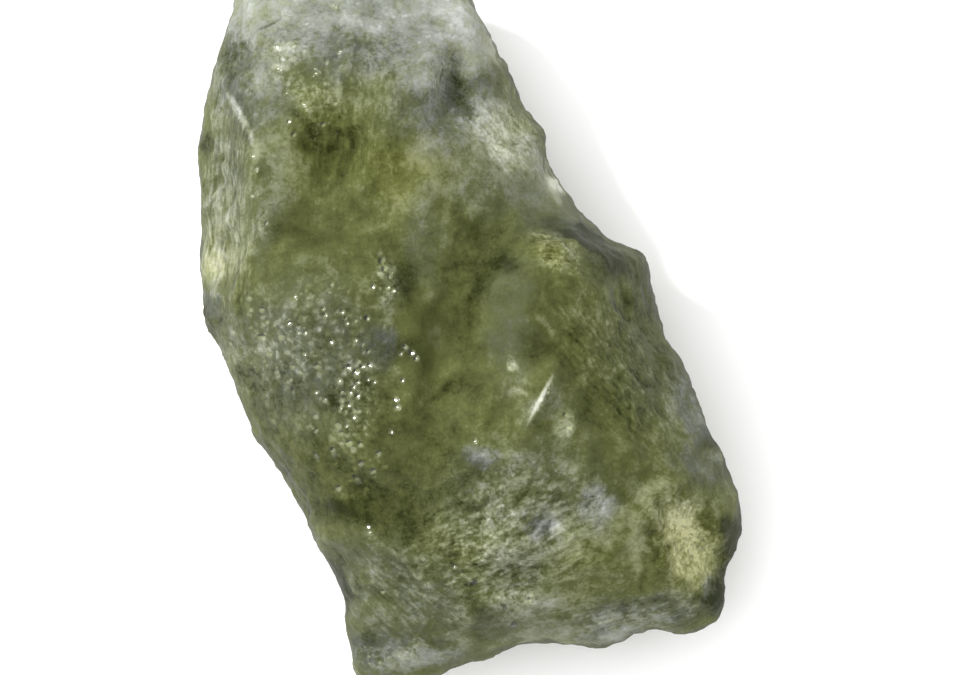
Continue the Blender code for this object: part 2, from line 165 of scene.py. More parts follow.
# Long bubbles that the flow drew out: x, y, half length, half width, turn
LONG_BUBBLES = (
    (-7.32, -2.25, 0.46, 0.15, -74), (-7.02, -2.65, 0.26, 0.09, -75), (-7.8, -3.85, 0.26, 0.09, -65),
    (-5.42, -5.02, 0.24, 0.13, -70), (-4.5, -6.1, 0.24, 0.12, -45), (-8.1, -3.1, 0.24, 0.08, -75),
    (-6.6, -2, 0.22, 0.09, -80), (-6.1, -5.2, 0.22, 0.09, -60),
)

# In the tables below a row starts with its own values, such as a strength, and goes on with a patch of the
# skin: x, y, half length, half width, and its turn unless that is 0.

# Where gas bubbles show under the skin like foam
FOAM_PATCHES = (
    (1, -6.2, -0.8, 2.4, 2.4), (0.9, -4.8, -3.6, 1.2, 2, 10), (0.9, -3.3, 1.8, 0.6, 1.3, 10),
    (0.5, -6.6, 10, 1.2, 1.4), (0.7, 1, -10.2, 1.8, 1.2, 10), (0.6, -6.8, -4, 1, 1.4, 20),
)

# How coarsely the skin is etched, more or less than elsewhere
ROUGH_PATCHES = (
    (0.5, 1.6, -8.4, 4.4, 3), (0.85, 8.7, -8.7, 2.2, 1.5, -65), (0.7, 1.4, 7.6, 1.3, 1, -60),
    (0.8, 3.3, 3, 0.9, 0.7, -40), (0.05, -3, -11.2, 3.4, 2, -35), (0.6, -9.3, 10.8, 0.7, 0.9),
    (0.6, -0.6, 9.6, 1.6, 0.7, -67), (0.15, 6.2, -1.4, 3.2, 1.6, -58), (0.5, 7.2, -11.5, 2.6, 0.6, 3),
    (0.15, -5, 10.4, 3, 2.4), (0.2, -6.2, -2.2, 3, 3.2), (0.6, -8.7, -2.2, 0.8, 0.5, -45),
    (-0.35, 1.5, 0, 1.9, 0.9, 85), (-0.3, -1.6, -0.6, 1.9, 1, 85), (-0.3, 3.4, 4.8, 2, 0.6, -35),
    (-0.2, -6.2, 3.6, 1.6, 0.7),
)

# Where the flow of the molten glass left fine ridges: their bearing, spacing and strength, then the patch
FLOW_PATCHES = (
    (87, 0.24, 1, -9.7, 4.8, 6.4, 1.1, 88), (25, 0.42, 1.1, 1.4, -8.6, 3.6, 2, 20),
    (-42, 0.36, 1, 6, -1.6, 3.6, 1.8, -60), (-35, 0.34, 0.7, -2.8, -10.8, 3, 1.8, -35),
    (-62, 0.34, 0.9, 8.8, -8.6, 2.2, 1.3, -65), (80, 0.5, 0.6, -4.6, 8, 3.4, 2.2, 90),
    (12, 0.3, 0.8, 6.2, -11.5, 3, 0.7, 3), (-50, 0.3, 0.7, 1.2, 7.4, 1.6, 1.2, -60),
)

# The ways that fine strokes run: their turn, and the bearings from and to which the patches above have them
STROKES = {"upright": (86, 60, 100), "rising": (22, 0, 60), "falling": (-46, -80, 0)}

# The broad tones of the glass, from -1 for the darkest to 1 for very pale, each painted over those before it
GROUND_PATCHES = (
    # narrow end
    (1.05, -4.8, 12.8, 6.8, 2.4), (1.25, -0.4, 12.2, 1.8, 1.4), (0.4, -5.3, 10.2, 2.6, 1.4),
    (0.7, -2.6, 10.2, 1.2, 1.7), (0.85, -8.2, 10.2, 1.4, 1), (0.2, -9.3, 10.4, 0.6, 1),
    (0.35, -7.2, 8.8, 1.2, 1.2), (0.15, -5, 8.7, 1.7, 1), (0.35, -2.6, 8.6, 1.2, 0.8),
    (-0.05, -0.5, 9.4, 1.5, 0.8, -67), (1.15, 1.5, 7.6, 1.6, 1, -54), (0.8, 3, 6.4, 1.2, 0.6, -55),
    # hollow and the slopes beside it
    (-0.35, -5.4, 7, 1.4, 1.4), (-0.05, -3.4, 7.4, 0.9, 0.8), (0.5, -1.7, 6.8, 1.2, 0.9),
    (0.35, -0.3, 6.4, 0.9, 0.9), (0.35, -7.9, 6.6, 1, 2), (-0.05, -4.8, 5, 2.4, 0.9),
    (0.35, -1.6, 5.2, 1.9, 0.9), (0.4, 1.8, 5.4, 1.8, 0.6, -15), (-0.25, -6.8, 3.5, 1.8, 0.6),
    (-0.05, -4.8, 3, 1.6, 0.8), (-0.05, -3, 3.6, 1.2, 0.8), (0, -1.4, 3.4, 1, 1),
    # left flank; its palest rows, near y 3, paint light reflected inside the glass
    (0.3, -9.9, 7.4, 0.7, 1.4), (0.8, -9.8, 4.8, 0.8, 1.4), (1.15, -10.2, 2.8, 0.6, 1.4),
    (0.75, -9.2, 3, 0.6, 1), (0.2, -9.2, 1, 0.7, 0.9), (0.6, -10.1, 1, 0.4, 1),
    # right shoulder
    # The first two rows are painted shade on the shadow side of the smooth lobe
    (-0.55, 0.8, 3.2, 1.2, 0.7, -20), (-0.6, -0.2, 1.2, 0.8, 1.6), (0.25, 3, 3, 1, 0.9),
    (-0.35, 4.8, 3.4, 1.9, 0.6, -25), (-0.5, 5.7, 2.2, 1, 0.9), (0, 5.4, 1, 1.3, 0.7),
    # valley, dome and lobe
    (-0.4, -2.4, 1.4, 0.6, 1.6), (-0.25, -1.4, 0.6, 0.9, 1.8), (0.05, -6.8, 0.2, 2.8, 2.4),
    (-0.1, -4, -0.2, 1.2, 1), (0.25, -8.5, -0.4, 0.9, 0.9), (0.35, -9.6, -0.8, 0.6, 1),
    (-0.15, -5.6, -2.6, 2.4, 1.6), (-0.25, -2.8, -1, 1, 1.2), (-0.35, -3.4, -3.8, 1.4, 1),
    (-0.6, -0.4, -2.4, 1, 0.6, 10), (0.05, 1.5, 0.4, 1.1, 1.4), (0.15, 1.6, -2.4, 1, 1.4),
    (-0.05, 3.4, 1, 1, 1), (-0.5, 3, -0.8, 0.9, 0.6, -20), (-0.55, 3.8, -1.4, 0.6, 0.6),
    # right facet and rim
    (-0.2, 5.2, -1, 1.6, 1.4), (-0.3, 7, -0.2, 1, 1.6), (-0.25, 7.4, -2.2, 0.9, 1.6),
    (-0.3, 4.8, -3.2, 1.4, 1), (0.2, 3.1, -3.2, 1, 1), (0.15, 8.4, -4, 0.8, 1.3),
    (-0.1, 6, -4.6, 1.4, 1), (0.3, 3.6, -4.8, 0.8, 0.8),
    # broad end
    (0, -6.8, -4.6, 1.6, 1.2), (-0.3, -5, -5.8, 2.4, 1), (-0.25, -1.6, -5, 1.6, 1.4),
    (-0.65, -3.8, -7.2, 2, 1, -12), (-0.45, -2.2, -7.8, 1, 1.2), (0.25, 2, -6.2, 2, 1.6),
    (0.35, 1.2, -8.6, 2, 1.4, 15), (0.5, 4.4, -7.8, 1.8, 1.4), (-0.1, 5.2, -5.6, 1, 0.7),
    # The row at 8.6, -8.6 paints the bright yellow patch low on the right: light reflected inside the glass
    (0.35, 7.2, -7, 1, 1), (1, 8.6, -8.6, 1.9, 1, -68), (0, 9.2, -6.2, 0.9, 1),
    (0.3, 10.2, -7.8, 0.6, 1.4), (0.2, 6.8, -9.4, 0.6, 1.4), (0.15, 5.4, -10, 1.1, 1),
    (0.45, 2.8, -10.8, 1.8, 1.2), (0.1, -4.8, -9.4, 1.2, 1.4), (0.15, -2.8, -11, 2, 2),
    (-0.05, -0.6, -10.4, 0.9, 1), (0, -1.2, -8.8, 1, 0.8), (0.35, 5.2, -11.8, 2.8, 0.6, 5),
    (0.05, 9.2, -11.2, 1.1, 1), (0.7, 3, -12.6, 1.6, 0.6), (-0.1, 0.6, -12, 0.7, 0.7),
    (0.05, -3.8, -12.8, 1.4, 0.9), (0.35, -1.6, -13.2, 2, 0.6, 8),
)

# Small marks that are darker or paler than the glass round them; a few pale ones are painted glints
TONE_PATCHES = (
    # narrow end
    (-0.5, -9.3, 10.8, 0.6, 0.8), (-0.7, -8, 12, 0.52, 0.06, 25), (-0.8, -6.6, 8.2, 0.8, 0.3, -40),
    (-0.4, -0.5, 9.1, 1.04, 0.48, -65), (0.3, 1.1, 11, 0.8, 0.36, -60), (-0.3, 1.5, 9.2, 0.56, 0.28, 90),
    (-0.45, -5.2, 11.4, 0.9, 0.6), (-0.25, -4.3, 12.6, 0.8, 0.4), (-0.35, -6, 10.2, 0.7, 0.6),
    (-0.2, -3.4, 10.5, 0.5, 0.6), (0.35, -0.6, 10.5, 1.4, 0.5), (-0.8, 0.6, 12.6, 0.6, 0.8),
    (0.3, -10.3, 9.6, 0.4, 0.5), (0.4, -1.8, 9.6, 0.5, 0.5), (1, -9.1, 8.3, 1, 0.15, -62),
    (-0.25, -1.3, 11.6, 0.5, 0.4), (-0.22, -7.3, 11.6, 1.2, 0.5), (-0.35, -8.3, 10.6, 0.5, 0.5),
    (-0.4, -5.8, 10.1, 0.8, 0.7), (-0.3, -9.3, 9.6, 0.5, 0.5), (0.25, -1.3, 10.1, 0.5, 0.8),
    (0.3, 0.7, 10.6, 0.5, 0.5), (0.25, 1.7, 9.6, 0.5, 0.4), (0.5, 0.7, 8.6, 0.5, 0.5),
    # The rows at -7.4, 11.1 and -7.5, 10.3 are painted glints
    (0.3, -1.2, 9.9, 0.4, 0.7), (0.25, -0.2, 10.4, 0.4, 0.6), (0.9, -7.4, 11.1, 0.4, 0.15, 10),
    (0.9, -7.5, 10.3, 0.35, 0.12, -5), (-0.25, -6.3, 9.6, 0.6, 0.5), (-0.15, -8.8, 8.8, 0.4, 0.5),
    (0.3, 1.6, 9.2, 0.4, 0.5), (-0.35, -9.3, 11.6, 0.4, 0.5), (-0.25, -7.8, 10.9, 0.8, 0.8),
    (-0.2, -1.3, 10.6, 0.4, 0.5), (-0.25, -5.9, 8.6, 0.6, 0.4), (-0.3, -9.4, 8, 0.5, 0.8),
    (-0.3, -2.3, 11, 0.7, 0.6), (-0.3, -6, 12.6, 0.8, 0.5),
    # hollow and the slopes beside it
    (-0.3, -6.5, 7.1, 0.56, 0.4, 90), (0.55, 0.4, 7.5, 1.3, 0.6, -30), (0.4, 1.6, 6.6, 0.9, 0.5, -40),
    (1.8, 3.7, 5.6, 0.55, 0.36, -40), (0.25, -7.9, 7, 1, 0.7), (0.3, -6.7, 6.6, 0.7, 0.5),
    (0.3, -1.8, 6.4, 0.9, 0.5), (0.2, -1.2, 5.4, 0.8, 0.5), (0.2, -2.3, 4.5, 0.6, 0.4),
    (-0.3, -4.3, 4.5, 0.5, 0.4), (-0.25, -5.6, 3.6, 1.2, 0.5), (-0.5, -0.4, 4.6, 0.56, 0.24, 90),
    (-0.5, -7.4, 4, 0.72, 0.56), (-0.45, 4.4, 3.6, 1.4, 0.5, -30), (0.3, -0.3, 7.6, 0.5, 0.5),
    (0.35, 1.7, 7.6, 0.5, 0.5), (0.25, -6.3, 6.6, 0.5, 0.5), (0.2, 2.7, 6.6, 0.5, 0.4),
    (0.55, 4.7, 4.6, 0.55, 0.4, -40), (0.25, -7.8, 4.6, 0.8, 0.5), (0.25, -0.3, 4.1, 0.5, 0.8),
    (0.6, 3.8, 3.3, 0.9, 0.2, -50), (-0.4, 2.5, 4, 0.9, 0.2, 25), (-0.3, 4.2, 3.6, 0.8, 0.4, -30),
    (0.15, -6.3, 4, 0.8, 0.4), (-0.2, 4.8, 3.6, 0.6, 0.4), (-0.2, -2.4, 7.8, 0.9, 0.6),
    (-0.5, 4.1, 3.6, 0.65, 0.4), (-0.2, -3.3, 5.6, 1, 0.4),
    # left flank
    (-0.35, -10.3, 7.6, 0.4, 0.5), (-0.6, -10.5, 7.2, 0.48, 0.24, 90), (-0.7, -8.2, 6.2, 0.48, 0.32, 90),
    (-0.6, -10.6, 0.5, 0.32, 0.16, 90), (0.35, -10.3, 2.1, 0.45, 0.9), (0.4, -8, 1.5, 0.8, 0.4),
    (-0.75, -10.3, 0.2, 0.5, 0.9), (-0.2, -8.9, 0.5, 0.6, 0.4), (-0.25, -9.3, 5.6, 0.5, 0.9),
    (-0.25, -8.3, 5.2, 0.4, 0.8), (-0.25, -10.3, 4.6, 0.5, 1.2), (-0.3, -9.3, 3.6, 0.5, 0.5),
    (-0.3, -9.9, -0.4, 0.5, 0.7),
    # pitted dome and the edge below it
    (-0.4, -8.3, -3.7, 0.4, 0.9, 25), (-0.4, -7.3, -5.3, 0.4, 0.8, 25), (-0.4, -6.3, -6.5, 0.4, 0.9, 25),
    (0.35, -3.3, 2.4, 0.4, 0.9), (0.3, -3.3, 0.7, 0.4, 0.6), (0.3, -2.9, -1.4, 0.6, 0.5),
    (0.25, -5.2, -6.4, 0.5, 0.4), (0.2, -4.8, -4.4, 0.8, 0.4), (-0.4, -2.5, 1.8, 0.88, 0.56, 90),
    (-0.5, -8.7, -2.2, 0.56, 0.32, -45), (-0.5, -2.5, -1, 0.56, 0.48), (0.5, -3.8, -1.2, 0.48, 0.28, 90),
    (0.4, -2.8, -1.8, 0.32, 0.28), (0.3, -3.2, -0.2, 0.48, 0.36, 90), (0.2, -6.3, 2.6, 0.5, 0.4),
    (-0.2, -7.8, 0.6, 0.7, 0.4), (-0.2, -7.8, -1.4, 0.7, 0.5), (-0.25, -4.1, -2.6, 0.5, 0.5),
    (0.25, -7.3, 0.9, 0.8, 0.4), (-0.3, -5.4, -3.6, 0.9, 0.5), (0.15, -5.8, 2.6, 0.8, 0.4),
    (0.15, -4.3, 0.4, 0.5, 0.5), (-0.25, -8.3, -4.4, 0.4, 0.5), (-0.2, -5.3, -2.9, 0.5, 0.5),
    (-0.45, -6.3, -4.4, 0.5, 0.4), (-0.3, -3.3, 1.6, 0.5, 0.6), (-0.2, -3.3, 3, 0.4, 0.6),
    (-0.25, -7.3, -0.4, 0.5, 0.5), (-0.35, -4.3, -2.4, 0.4, 0.5), (-0.2, -5.3, -2.4, 0.5, 0.4),
    (-0.25, -5.3, 0.6, 0.5, 0.5), (-0.3, -9.3, -1.4, 0.5, 0.5), (-0.35, -6.3, -2.4, 0.5, 0.5),
    (-0.25, -7.8, -3.4, 0.8, 0.5), (-0.3, -5.3, -3.4, 0.5, 0.5), (-0.25, -3.3, -3.4, 0.5, 0.5),
    # shoulder, valley and lobe
    (-0.5, -1.3, -2.6, 0.72, 0.24, 35), (-0.35, 1.7, 2.5, 1.2, 0.45), (-0.3, 0.3, 1.5, 0.6, 0.8),
    (0.7, -1.3, -0.4, 0.43, 0.56), (-0.4, 0.7, -2.4, 0.5, 0.4), (0.25, 0.7, -4.5, 0.5, 0.4),
    # The rows at 1.7, -1.6, at 1.9, -2.5, at 2.8, -2.9 and at 3.7, -4 are painted glints on a ridge
    (0.4, -1.7, 1.2, 0.36, 0.32), (0.5, 3.2, -0.2, 0.56, 0.2, -55), (0.9, 1.7, -1.6, 0.2, 0.16),
    (0.7, 1.9, -2.5, 0.28, 0.2), (1.9, 2.8, -2.9, 0.94, 0.08, 63), (0.5, 3.7, -4, 0.52, 0.36, 90),
    (0.3, 3.7, 2.5, 0.4, 0.4), (-0.2, 1.2, 2.6, 0.8, 0.4), (-0.2, 0.7, -3.4, 0.5, 0.4),
    (-0.35, 2.7, -2.4, 0.4, 0.4), (-0.3, 1.7, -3.4, 0.4, 0.4), (-0.25, 2.7, -3.9, 0.5, 0.4),
    (-0.25, 2.5, -4.4, 0.5, 0.4), (-0.15, 0.9, -2.8, 0.6, 0.6), (-0.2, -0.8, -3.4, 0.8, 0.4),
    (-0.2, -0.3, -0.4, 0.4, 1.2), (-0.25, 0.7, 1.6, 0.5, 1),
    # right facet and rim
    (-0.5, 6.2, 2.5, 0.9, 0.6, -30), (-0.4, 7.1, 1.4, 0.5, 0.9), (0.25, 4.7, 1.5, 0.6, 0.4),
    (0.3, 5.7, -3.4, 0.5, 0.5), (-0.4, 9.9, -4.7, 0.5, 1, 25), (0.3, 8.8, -3.2, 1.8, 0.3, -65),
    (0.6, 9.9, -5.2, 0.32, 0.2, 90), (-0.2, 5.2, 3.1, 0.8, 0.7), (0.2, 4.7, -2.4, 0.5, 0.5),
    (-0.25, 9.7, -4.4, 0.5, 0.4), (0.3, 9.7, -5.4, 0.4, 0.4), (0.25, 4.7, -4.4, 0.6, 0.4),
    (0.25, 9.4, -5.4, 0.3, 0.4),
    # broad end
    (0.4, 0.5, -5.1, 0.56, 0.32), (0.4, 2.7, -5.7, 0.4, 0.24, 30), (0.3, 3.8, -5.6, 0.4, 0.28, 90),
    (0.2, 1.7, -5.4, 0.5, 0.4), (-0.2, 0.2, -5.6, 0.7, 0.5), (-0.25, 0.2, -5.4, 0.9, 0.4),
    (0.25, 3.2, -5.4, 0.7, 0.4), (0.25, 0.7, -6.5, 0.5, 0.4), (0.3, 2.9, -6.5, 1.1, 0.5),
    (-1.2, 10.6, -8.6, 0.5, 1.4), (-0.85, 10.4, -10.8, 0.6, 0.9), (0.6, 8.7, -7.4, 0.6, 0.6),
    (0.4, 9.6, -9.4, 0.4, 0.5), (0.45, 3.8, -8.6, 0.7, 0.6), (0.25, 5.4, -8.5, 0.9, 0.6),
    (-0.4, 3.7, -7.4, 0.4, 0.3), (0.3, -0.3, -8.9, 0.5, 0.8), (0.35, -0.2, -11.2, 0.5, 0.8),
    (0.25, 3.2, -9.5, 0.9, 0.5), (0.35, 5.7, -12.4, 0.7, 0.3, 5), (-0.3, 9.7, -11.4, 0.5, 0.5),
    (0.6, 3, -8, 0.64, 0.52, 90), (-0.6, 3, -8.1, 0.36, 0.28, 90), (0.4, 5, -7.2, 0.8, 0.6, -50),
    (0.4, 5.6, -8.6, 0.44, 0.32, 90), (-0.4, 0.1, -10.8, 1.2, 0.4, -70), (-0.7, 6.9, -9.7, 0.72, 0.18, 88),
    (1, 8.6, -7, 0.24, 0.2), (0.4, 9.2, -8.6, 0.8, 0.3, -70), (0.4, 7.6, -8.6, 0.4, 0.28, 90),
    (0.4, 8.7, -10.3, 0.64, 0.52, 90), (-0.4, 9.8, -10.8, 0.72, 0.44, 90), (0.4, 5.5, -12.6, 0.72, 0.24, 8),
    (-0.3, -0.5, -13.3, 0.5, 0.5), (0.25, 2.2, -7.4, 0.8, 0.4), (0.2, 6.2, -7.4, 1, 0.5),
    (0.8, 8.7, -8.4, 0.33, 0.62), (-0.3, 2.7, -7.5, 0.5, 0.3), (0.3, 6.7, -8.6, 0.3, 0.7),
    (-0.25, 7.7, -9.4, 0.4, 0.6), (-0.25, 6.6, -7.1, 0.5, 0.5), (-0.3, 10.6, -8.6, 0.4, 0.9),
    (-0.3, 6.7, -7.4, 0.4, 0.4), (0.45, 6.7, -9.4, 0.3, 0.7), (-0.25, 7.7, -8.9, 0.3, 0.9),
    (0.35, 8.9, -8.9, 0.2, 0.9, 15), (-0.3, 5.7, -8.6, 0.5, 0.6), (0.25, 6.7, -6.4, 0.5, 0.5),
    (0.25, 2.7, -7.2, 0.5, 0.3), (0.25, 8.2, -7.4, 0.8, 0.4), (0.25, 3.7, -8.4, 0.4, 0.5),
    (0.2, 5.7, -9.4, 1.2, 0.4), (0.35, 0.7, -10.4, 0.5, 0.5), (0.25, 3.7, -11.4, 0.5, 0.4),
    (0.3, 5.7, -11.9, 0.5, 0.7), (0.25, 7.7, -12.4, 0.5, 0.4), (0.25, -0.3, -12.4, 0.5, 0.5),
    (0.35, 6.7, -8.9, 0.4, 0.8), (0.2, 1.2, -7.4, 0.7, 0.4), (0.2, 0.7, -8.4, 0.4, 0.4),
    (0.2, 5.7, -8.4, 0.5, 0.4), (-0.35, 2.7, -7.4, 0.4, 0.4), (-0.35, 10.8, -8.4, 0.3, 0.8),
    # lower left
    (-0.3, -1.3, -9.4, 0.4, 0.4), (-0.4, -4.8, -7.4, 1, 0.6), (-0.3, -4.9, -8.8, 0.6, 0.8),
    (-1.1, -5.3, -10.4, 0.45, 1.1, 10), (-0.3, -1.3, -12.4, 0.5, 0.4), (0.25, -3.3, -12.4, 0.5, 0.5),
    (0.3, -2, -13.2, 1.6, 0.32, 10), (-0.4, -4.2, -12.6, 0.48, 0.36), (-0.4, -5, -10.4, 0.6, 1, 10),
    (-0.2, -4.9, -7.6, 0.9, 0.5), (-0.25, -5.8, -7.4, 0.8, 0.5), (-0.25, -4.3, -9.4, 0.4, 0.5),
    (0.25, -2.3, -9.4, 0.5, 0.5), (-0.4, -5.4, -10.4, 0.4, 0.9, 10), (-0.3, -4.3, -12.9, 0.6, 0.8),
)

# Where the glass is yellower; the first row, on the left flank, and the row at 8.8, -8.8, low on the right,
# are painted light reflected inside the glass
YELLOW_PATCHES = (
    (1, -9.9, 2.6, 1.7, 0.7, 86), (1, -9.1, 8.3, 1, 0.2, -62), (0.7, -2.4, 6.3, 1.9, 1.4),
    (0.7, -5.6, 7.2, 1.4, 1.2, -50), (1, 8.8, -8.8, 2, 1.2, -65), (0.7, 3.3, 3, 0.9, 0.6, -40),
    (0.15, 0.6, 0, 3.4, 2.6, 80), (0.5, 5.2, -9.2, 1.8, 1.1),
)

# Where a frosted, greyer skin veils the green, with a painted grey sheen that stands for reflected soft light
FROST_AND_SHEEN_PATCHES = (
    (1, -3.8, 12.6, 6.6, 2.6), (0.8, -1, 9.6, 2.6, 2.2, -70), (0.8, -8.8, 9.8, 1.6, 2.4),
    (0.5, -9.7, 5.6, 4, 0.9, 88), (0.5, 3.4, 4.8, 2.4, 0.9, -35), (0.55, -6.6, -1.2, 2.6, 2.8),
    (0.8, -3.6, -0.8, 0.9, 0.7, 90), (0.9, 9, -3.2, 2, 0.7, -65), (0.45, -2.8, -11, 3.4, 2.1, -35),
    (0.7, 6.8, -11.5, 2.9, 0.7, 3), (0.8, -2, -13.2, 1.8, 0.5, 10), (0.4, 2, -6.6, 3, 1.8, 10),
    (0.9, 5, -7.2, 0.8, 0.7), (0.9, 3, -8, 0.7, 0.6, 90), (0.9, 0.5, -5.1, 0.6, 0.4),
    (0.6, 9.2, -5.4, 1.2, 0.7, -35), (0.15, 5.3, 3, 1.6, 0.9, -25), (0.7, 9.8, -10.8, 0.8, 0.6, 90),
    (0.4, 2.8, -3.2, 1, 0.5, 65), (0.35, -8, 5.4, 0.9, 1.6), (0.35, 1.4, 5.6, 2.6, 1.4, -20),
    (0.5, -9.4, -0.4, 0.9, 0.9), (0.3, -3.2, 1.2, 0.5, 1.2), (0.4, 2.2, -11.8, 2.8, 1),
    (0.9, -3.6, -13, 1.6, 1), (0.3, 7.6, -2.2, 1.2, 2.2, 20), (0.8, -10.3, 1, 0.5, 1),
    (1, -8.8, 12.1, 1.2, 0.9), (0.4, -8.3, 4.6, 0.5, 2), (0.35, -1.8, 3.6, 0.7, 2),
    (0.35, 1.6, 0, 0.9, 2.6), (0.6, 2.7, 6.6, 0.7, 1.2, 30), (0.9, 5.7, -12.4, 1.4, 0.5, 5),
    (0.35, 1.8, -9.4, 1.4, 1.2),
)

# Where the skin is bright and glossy enough to glint
GLOSS_PATCHES = (
    (1, 1.7, -1.6, 0.24, 0.2), (0.9, 1.9, -2.5, 0.3, 0.24), (1, 2.8, -2.9, 1, 0.14, 65),
    (1, 3.7, -4, 0.6, 0.4, 90), (0.6, -9.1, 8.3, 1, 0.12, -62), (0.6, -8.3, 4.8, 2, 0.3, 85),
    (0.7, 3.5, 2.6, 0.8, 0.5, -40), (0.6, 0.4, -8.6, 2.2, 1.2, 25), (0.8, 1.8, -11, 1, 0.8),
    (0.7, -7.4, 10.9, 1, 0.6), (0.7, -6, 8.8, 1, 1.2), (0.6, 5, -7.2, 0.8, 0.6, -50),
    (0.6, -2.4, -13.1, 1.6, 0.4, 10), (0.8, 8.8, -8.6, 1.8, 0.7, -68), (0.7, -4.4, -3, 1, 1.8),
    (0.8, -3.4, 1.8, 0.5, 1, 10), (0.5, -7.4, -1, 1.6, 1.4), (0.7, 0.2, -10.4, 1.4, 1.2),
    (0.9, -3.8, -13.2, 1, 0.4),
)


def length(name, description, default, least=0.0):
    """A size that the user can change."""
    return FloatProperty(
        name=name, description=description, default=default, min=least, unit="LENGTH", precision=5,
    )


def share(name, description, default):
    """A share from 0 to 1 that the user can change."""
    return FloatProperty(name=name, description=description, default=default, min=0, max=1, subtype="FACTOR")


def colour(name, description, default):
    """A colour that the user can change."""
    return FloatVectorProperty(
        name=name, description=description, default=default, subtype="COLOR", size=3, min=0, max=1,
    )


class StoneSettings(bpy.types.PropertyGroup):
    """Sizes and colours of the stone."""

    grid: length("Skin Mesh", "Spacing of the mesh below, and half of it above", 0.213 * MM, 0.1 * MM)
    grain_height: length("Etching", "Usual height of the bowls and crests that etching left", 0.030 * MM)
    flow_height: length("Flow Ridges", "Usual height of the ridges that the glass's flow left", 0.022 * MM)
    pit_depth: share("Pit Depth", "Depth of a bubble pit at its middle, as a share of its radius", 0.5)
    seed: IntProperty(
        name="Seed", description="Sets where small bubbles fall and how patches stray", default=7, min=1,
    )
    # The palest greens and greys also colour painted glints and lit crests, and the greys a painted grey
    # sheen besides frost
    deep_green: colour("Deep Green", "Colour of the darkest glass", (0.019, 0.023, 0.004))
    green: colour("Green", "Usual colour of the glass", (0.140, 0.156, 0.053))
    pale_green: colour("Pale Green", "Colour of pale glass", (0.39, 0.415, 0.250))
    bright_green: colour("Bright Green", "Colour of the glass's palest specks and crests", (0.76, 0.78, 0.60))
    deep_grey: colour("Deep Grey", "Colour of the darkest frosted skin", (0.018, 0.022, 0.016))
    grey: colour("Grey", "Usual colour of the frosted skin", (0.124, 0.135, 0.116))
    pale_grey: colour("Pale Grey", "Colour of pale frosted skin", (0.375, 0.39, 0.362))
    bright_grey: colour("Bright Grey", "Colour of frosted skin's palest specks", (0.76, 0.78, 0.76))
    yellow: colour("Yellow", "Tint of the yellowest glass", (1.0, 0.97, 0.70))
    transmission: share("Transmission", "Share of the light that passes the surface into the glass", 0.5)
    refraction: FloatProperty(
        name="Refractive Index", description="Refractive index of the glass", default=1.49, min=1, max=2,
    )
    shine: share("Shine", "Strength of the surface's reflections, of which 0.5 is usual", 0.15)
    shine_colour: colour("Shine Colour", "Tint of the reflections that face the viewer", (0.45, 0.50, 0.20))
    absorption_colour: colour("Absorption", "Colour that light takes on inside the glass", (0.72, 0.75, 0.42))
    absorption_density: FloatProperty(
        name="Absorption Density", description="How fast light takes on that colour, per metre",
        default=200.0, min=0,
    )


class StageSettings(bpy.types.PropertyGroup):
    """Sizes and lights of the stage."""

    floor_size: length("Floor", "Side of the floor", 1.6, 0.1)
    floor_colour: colour("Floor Colour", "Colour of the floor", (0.98, 0.98, 0.98))
    camera_height: length("Camera Height", "Height of the camera above the floor", 0.60, 0.05)
    view_width: length("View Width", "Width that the camera sees at the stone's rim", 38.44 * MM, 0.005)
    key_power: FloatProperty(
        name="Key Light", description="Power of the large soft light at the upper left",
        default=1.6, min=0, unit="POWER",
    )
    sparkle_power: FloatProperty(
        name="Sparkle Light", description="Power of the small lamp that the pits mirror",
        default=0.9, min=0, unit="POWER",
    )
    surround: FloatProperty(
        name="Surround", description="Brightness of the white room round the stone", default=1.4, min=0,
    )
    ceiling_shade: share("Ceiling Shade", "How much darker the room is right above the stone", 0.8)


def closeness(plan, x, y, half_length, half_width, turn=0):
    """1 in the middle of a patch, falling to 0 over its edge."""
    angle = math.radians(turn)
    east, north = plan[:, 0] - x, plan[:, 1] - y
    along = (east * math.cos(angle) + north * math.sin(angle)) / half_length
    across = (north * math.cos(angle) - east * math.sin(angle)) / half_width
    return np.exp(-((along**2 + across**2) ** 2) * 0.7)


def evened(field):
    """The same field with a mean of 0 and a usual height of 1, without its outliers."""
    return np.clip((field - field.mean()) / field.std(), -2.5, 2.5)


